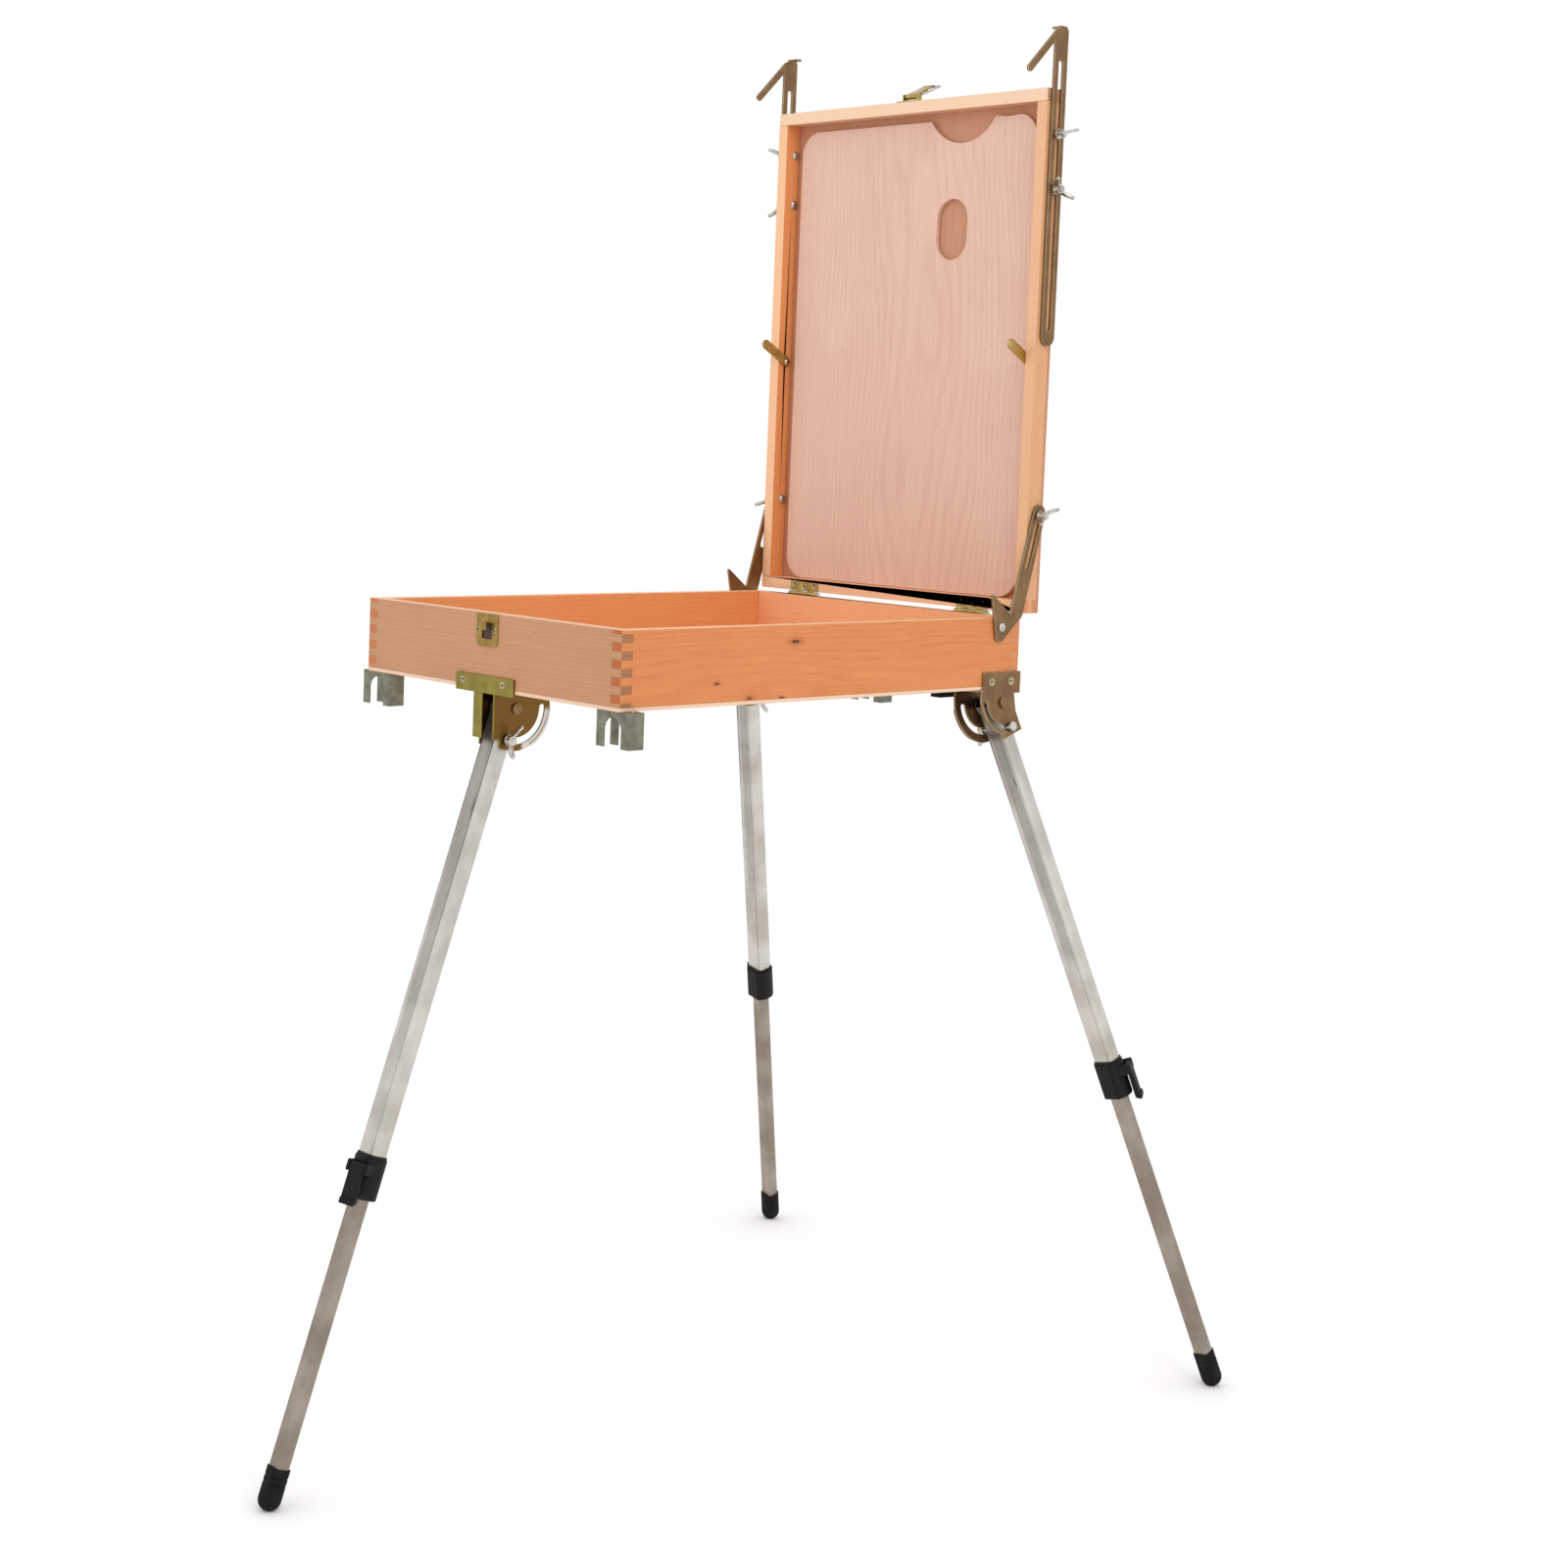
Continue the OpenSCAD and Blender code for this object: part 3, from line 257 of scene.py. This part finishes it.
# Metal drifts in soft patches, with fine scratches and dulled spots. along is the line of its brushing,
# and each of others is a function that says where a second tone lies, and that tone.
def metalFinish(name, look, along=None, others=()):
    finish = Finish(name, look["gloss"], look["metallic"], Specular_Tint=(1, 1, 1, 1))
    patches = finish.noise(finish.stretched([look["patch"]] * 3))
    specks = finish.noise(finish.stretched([metalScales["specks"]] * 3), 2.0)
    if along is None:
        where = finish.stretched(metalScales["scratches"])
    else:
        line = np.array(along, float)
        sideways = np.cross(line, (0, 0, 1)) / np.linalg.norm(np.cross(line, (0, 0, 1)))
        upward = np.cross(sideways, line)
        runs = [finish.dot(finish.place, way.tolist()) for way in (line, sideways, upward)]
        where = finish.vector(runs[0] * metalScales["brushAlong"], runs[1] * metalScales["brushAcross"],
                              runs[2] * metalScales["brushAcross"])
    lines = finish.noise(where, 3.0, 0.6)
    colour = finish.mixed(patches.band(0.3, 0.7), look["colour"], look["drift"])
    colour = finish.mixed(specks.band(0.62, 0.72) * look["dirt"], colour, look["grime"])
    colour = finish.mixed(lines * look["streak"], colour, look["drift"])
    for isThere, second in others:
        colour = finish.mixed(isThere(finish), colour, second)
    finish.feed("Base Color", colour)
    finish.feed("Roughness", patches * 0.12 + lines * look["lineGloss"] + (look["gloss"] - 0.1))
    finish.bump(lines * 0.6 + specks * 0.4, metalScales["relief"], look["bump"])
    return finish.material


# Moulded black: a fine grained skin with pale dust in its hollows. grit is its grain, per metre.
clampSkin = dict(tones(colour=(17, 15, 15), dust=(46, 42, 40)), gloss=0.56, grit=1500.0)
footSkin = dict(tones(colour=(14, 13, 12), dust=(52, 47, 42)), gloss=0.74, grit=2200.0)


def plasticFinish(name, skin):
    finish = Finish(name, skin["gloss"], Specular_IOR_Level=0.2)
    grain = finish.noise(finish.stretched([skin["grit"]] * 3), 3.0, 0.6)
    patches = finish.noise(finish.stretched([90.0] * 3))
    dusty = patches.band(0.45, 0.8) * 0.35 + grain.band(0.6, 0.8) * 0.2
    finish.feed("Base Color", finish.mixed(dusty, skin["colour"], skin["dust"]))
    finish.feed("Roughness", patches * 0.2 + grain * 0.15 + (skin["gloss"] - 0.15))
    finish.bump(grain, 0.0001, 0.45)
    return finish.material


legLean = dict(front=math.radians(18.7), rear=math.radians(17.2), tilt=math.radians(12.4))


# Direction down a leg: 0 is the front one, 1 right, -1 left
def legLine(side):
    if side == 0:
        return (0.0, -math.sin(legLean["front"]), -math.cos(legLean["front"]))
    lean, tilt = legLean["rear"], legLean["tilt"]
    return (side * math.cos(lean) * math.sin(tilt), math.sin(lean), -math.cos(lean) * math.cos(tilt))


# The front bracket is brown on its cheeks, and bright along the rims of their arcs about the pivot
frontArc = dict(pivot=(0.0, -0.2045, 0.608), radius=(0.0222, 0.0236), top=(0.609, 0.6045),
                front=(-0.2, -0.196))


def cheekFaces(finish):
    return finish.split(finish.facing)[0].join("ABSOLUTE").band(0.4, 0.7)


def arcRim(finish):
    axes = finish.split(finish.place)
    radial = finish.away(frontArc["pivot"], (0, 1, 1)).band(*frontArc["radius"])
    return radial * axes[2].band(*frontArc["top"]) * axes[1].band(*frontArc["front"])


boxBottom, boxSide = 0.6225, 0.165
# Painted shade on the front board behind the keeper's opening: its centre and radius, in metres
keeperPaintedShade = ((0.0, -0.225, 0.6694), 0.0092)
sideKnots = [((boxSide, -0.045, 0.6705), 0.0022), ((boxSide, -0.128, 0.640), 0.0012),
             ((boxSide, -0.093, 0.6275), 0.0016), ((boxSide, -0.058, 0.6262), 0.0011)]
up, forward = (2, 1), (1, -1)
finishes = {
    "front_board": woodFinish("frontBoardWood", 0, frontTones, beech, (-0.2, 0.56), 0.1, rimUp=up,
                              paintedShade=keeperPaintedShade),
    "rear_board": woodFinish("rearBoardWood", 0, rearTones, beech, (0.25, 0.60), 1.7, rimUp=up),
    "right_board": woodFinish("rightBoardWood", 1, sideTones, beech, (0.12, 0.63), 3.1, sideKnots, rimUp=up),
    "left_board": woodFinish("leftBoardWood", 1, innerTones, beech, (-0.20, 0.61), 4.3, rimUp=up),
    "bottom_panel": woodFinish("bottomPanelPly", 1, panelTones, beech, (0.0, 0.4), 5.2,
                               plies=(2, boxBottom, 0.001)),
    "lid_top_board": woodFinish("lidTopWood", 0, topTones, beech, (0.20, 1.20), 6.4, rimUp=forward),
    "lid_bottom_board": woodFinish("lidBottomWood", 0, rearTones, beech, (0.20, 0.62), 7.5, rimUp=forward),
    "lid_right_board": woodFinish("lidRightWood", 2, lidSideTones, beech, (0.14, 0.20), 8.2, rimUp=forward),
    "lid_left_board": woodFinish("lidLeftWood", 2, innerTones, beech, (-0.19, 0.20), 9.1, rimUp=forward),
    "lid_panel": woodFinish("lidPanelPly", 2, backTones, beech, (0.0, 0.1), 10.6, plies=(1, 0.2451, 0.001)),
    "palette": woodFinish("palettePly", 2, paletteTones, paletteWood, (0.02, 0.1), 11.8,
                          plies=(1, 0.2406, 0.0013)),
}

slotFinish = {
    "brass": metalFinish("satinBrass", brassLook),
    "zinc_yellow": metalFinish("yellowZinc", zincLook),
    "bronze_steel": metalFinish("bronzedSteel", bronzeLook),
    "steel": metalFinish("brightZinc", steelLook),
    "grey_steel": metalFinish("greyZinc", greyLook),
    "black_plastic": plasticFinish("clampPlastic", clampSkin),
    "black_rubber": plasticFinish("footRubber", footSkin),
}
wornEdge = metalFinish("wornEdge", wornLook)
legWords = {0: "Front", 1: "Right", -1: "Left"}
legSides = dict(front=0, right=1, left=-1)
tubes = {(part, side): metalFinish(stem + legWords[side], look, legLine(side))
         for part, stem, look in (("upper", "alloy", alloyLook), ("lower", "lowerAlloy", lowerLook))
         for side in legWords}
bracketTones = ((cheekFaces, tone(120, 90, 46)), (arcRim, tone(214, 210, 202)))
finishes["front_leg_bracket"] = metalFinish("frontBracketZinc", zincLook, others=bracketTones)
finishes["latch_keeper"] = metalFinish("keeperBrass", keeperLook)
finishes["leg_pivot_pins"] = metalFinish("pivotPinBronze", pinLook)
for node in ("base_screws", "lid_screws"):
    finishes[node] = metalFinish(node + "Zinc", screwLook)
for node in frame["nodes"]:
    if slotOf[node] == "aluminium":
        side, part = node.split("_")[:2]
        finishes[node] = tubes[part, legSides[side]]
    elif node not in finishes:
        finishes[node] = slotFinish[slotOf[node]]
print("finishes made:", len(finishes))


# A new object in the scene
def placed(name, content):
    made = bpy.data.objects.new(name, content)
    bpy.context.scene.collection.objects.link(made)
    return made


# A node's mesh with its doubled vertices merged
def mergedForm(mesh):
    form = bmesh.new()
    form.from_mesh(mesh)
    bmesh.ops.remove_doubles(form, verts=form.verts, dist=2e-6)
    return form


# Widths of the bevels by kind of piece, in metres, and the turn of a face that counts as an edge
easing = dict(board=0.0006, ply=0.0004, plate=0.0003, moulded=0.0008, tube=0.0003, small=0.00018)
edgeAngle, flatAngle = math.radians(34), math.radians(0.4)


# A copy of a CAD node with its sharp edges eased. edge is a second material, for the eased edges.
def softened(node, width, edge=None):
    mesh = frame["nodes"][node].data.copy()
    mesh.name = node + "_eased"
    form = mergedForm(mesh)
    bmesh.ops.dissolve_limit(form, angle_limit=flatAngle, verts=form.verts, edges=form.edges)
    form.to_mesh(mesh)
    form.free()
    mesh.materials.clear()
    mesh.materials.append(finishes[node])
    if edge:
        mesh.materials.append(edge)
    mesh.shade_smooth()
    mesh.set_sharp_from_angle(angle=edgeAngle)
    piece = placed(node + "_eased", mesh)
    ease = piece.modifiers.new("ease", "BEVEL")
    ease.width, ease.segments, ease.limit_method, ease.angle_limit = width, 2, "ANGLE", edgeAngle
    ease.use_clamp_overlap, ease.harden_normals = False, True
    if edge:
        ease.material = 1
    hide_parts(node)
    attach(piece, bodyOf[node])


def easingOf(node):
    slot = slotOf[node]
    if node.endswith("_board"):
        return "board"
    if node in ("bottom_panel", "lid_panel", "palette"):
        return "ply"
    if slot in ("bronze_steel", "zinc_yellow", "grey_steel", "brass"):
        return "plate"
    if slot in ("black_plastic", "black_rubber"):
        return "moulded" if node.endswith(("clamp", "lever")) else "ply"
    return "tube" if node.endswith("_tube") else "small"


for node in frame["nodes"]:
    softened(node, easing[easingOf(node)], wornEdge if slotOf[node] == "bronze_steel" else None)
print("eased pieces:", len(frame["nodes"]))


# The places of the vertices of each separate solid in a mesh
def islands(mesh):
    form = mergedForm(mesh)
    seen, found = set(), []
    for start in form.verts:
        if start in seen:
            continue
        seen.add(start)
        group, queue = [], [start]
        while queue:
            vertex = queue.pop()
            group.append(tuple(vertex.co))
            for edge in vertex.link_edges:
                other = edge.other_vert(vertex)
                if other not in seen:
                    seen.add(other)
                    queue.append(other)
        found.append(np.array(group))
    form.free()
    return found


# Cross recess: half the length and width of its bars, how far it stands out and goes in, in metres,
# and the slice at a screw's end that is compared to find its head
cross = dict(long=0.00165, wide=0.00034, proud=0.00006, sunk=0.0004, slice=0.0004)
# The recess prisms are dark with painted shade, standing for the hollow of each cross
recessPaintedShade = metalFinish("screwRecessShade", recessShadeLook)


# A plus-shaped prism on each screw's head, its outline one bar crossing another at right angles, dark with
# painted shade where the real recess is hollow
def crossRecesses(node):
    long, wide = cross["long"], cross["wide"]
    plus = [(long, wide), (wide, wide), (wide, long), (-wide, long), (-wide, wide), (-long, wide),
            (-long, -wide), (-wide, -wide), (-wide, -long), (wide, -long), (wide, -wide), (long, -wide)]
    count = len(plus)
    places, faces = [], []
    for points in islands(frame["nodes"][node].data):
        low, high = points.min(axis=0), points.max(axis=0)
        axis = int(np.argmax(high - low))
        a, b = [i for i in range(3) if i != axis]
        slices = [points[np.abs(points[:, axis] - end[axis]) < cross["slice"]] for end in (low, high)]
        spreads = [np.ptp(cut[:, a]) for cut in slices]
        side = 1 if spreads[1] > spreads[0] else -1
        face = (high if side > 0 else low)[axis]
        middle = (low + high) / 2
        first = len(places)
        for height in (face - side * cross["sunk"], face + side * cross["proud"]):
            for offA, offB in plus:
                corner = middle.copy()
                corner[axis], corner[a], corner[b] = height, middle[a] + offA, middle[b] + offB
                places.append(tuple(corner))
        ring = [(first + k, first + (k + 1) % count) for k in range(count)]
        walls = [(start, after, after + count, start + count) for start, after in ring]
        caps = [tuple(range(first, first + count))[::-1], tuple(range(first + count, first + 2 * count))]
        outward = side == (1 if (a + 1) % 3 == b else -1)
        faces += [corners if outward else corners[::-1] for corners in walls + caps]
    mesh = bpy.data.meshes.new(node + "_recessShade")
    mesh.from_pydata(places, [], faces)
    mesh.materials.append(recessPaintedShade)
    piece = placed(node + "_recessShade", mesh)
    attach(piece, bodyOf[node])
    print(node, "recesses:", len(places) // (2 * count))


crossRecesses("base_screws")
crossRecesses("lid_screws")

# Stage: pale floor, soft light and the camera
stageLook = dict(floorSize=40.0, floor=tone(255, 255, 255), cloud=tone(252, 252, 251), sky=1.0,
                 aim=(0, 0, 0.7))
keyLamp = dict(place=(2.6, -0.9, 2.6), size=1.6, power=16.0)
fillLamp = dict(place=(-1.2, -2.8, 1.9), size=2.0, power=3.0)


def floorPlane():
    half = stageLook["floorSize"] / 2
    corners = [(-half, -half, 0), (half, -half, 0), (half, half, 0), (-half, half, 0)]
    mesh = bpy.data.meshes.new("floor")
    mesh.from_pydata(corners, [], [(0, 1, 2, 3)])
    plane = placed("floor", mesh)
    plain = Finish("paleFloor", 0.9, Specular_IOR_Level=0.2)
    cloud = plain.noise(plain.stretched([1.5] * 3), 2.0)
    plain.feed("Base Color", plain.mixed(cloud * 0.1, stageLook["floor"], stageLook["cloud"]))
    mesh.materials.append(plain.material)


def softLight(name, lampLook):
    lamp = bpy.data.lights.new(name, "AREA")
    lamp.shape, lamp.size, lamp.energy = "DISK", lampLook["size"], lampLook["power"]
    holder = placed(name, lamp)
    toward = np.array(stageLook["aim"], float) - np.array(lampLook["place"], float)
    back = -toward / np.linalg.norm(toward)
    right = np.cross((0, 0, 1), back)
    right /= np.linalg.norm(right)
    turn = Matrix(np.column_stack([right, np.cross(back, right), back]).tolist()).to_4x4()
    holder.matrix_world = Matrix.Translation(lampLook["place"]) @ turn


floorPlane()
world = bpy.data.worlds.new("studio")
bpy.context.scene.world = world
world.use_nodes = True
world.node_tree.nodes["Background"].inputs["Color"].default_value = (1, 1, 1, 1)
world.node_tree.nodes["Background"].inputs["Strength"].default_value = stageLook["sky"]
softLight("keyLight", keyLamp)
softLight("fillLight", fillLamp)
bpy.context.scene.view_settings.view_transform = "Standard"

# The camera that was fitted to the photo: focal length and picture centre in its pixels, place and axes
photo = dict(
    size=1600, focal=2508.16, centre=(720.0, 640.0), place=(1.55470767, -1.40159062, 0.83124424),
    right=(0.66894574, 0.74235016, 0.03778665), down=(0.08326784, -0.02432472, -0.99623028),
    ahead=(-0.73863256, 0.66957042, -0.07808581))
lens = bpy.data.cameras.new("photoView")
lens.sensor_width = 36.0
lens.lens = photo["focal"] * lens.sensor_width / photo["size"]
lens.shift_x = (photo["size"] / 2 - photo["centre"][0]) / photo["size"]
lens.shift_y = (photo["centre"][1] - photo["size"] / 2) / photo["size"]
lens.clip_start, lens.clip_end = 0.05, 60.0
camera = placed("photoView", lens)
turned = np.column_stack([photo["right"], -np.array(photo["down"]), -np.array(photo["ahead"])])
camera.matrix_world = Matrix.Translation(photo["place"]) @ Matrix(turned.tolist()).to_4x4()
bpy.context.scene.camera = camera
print("stage set")
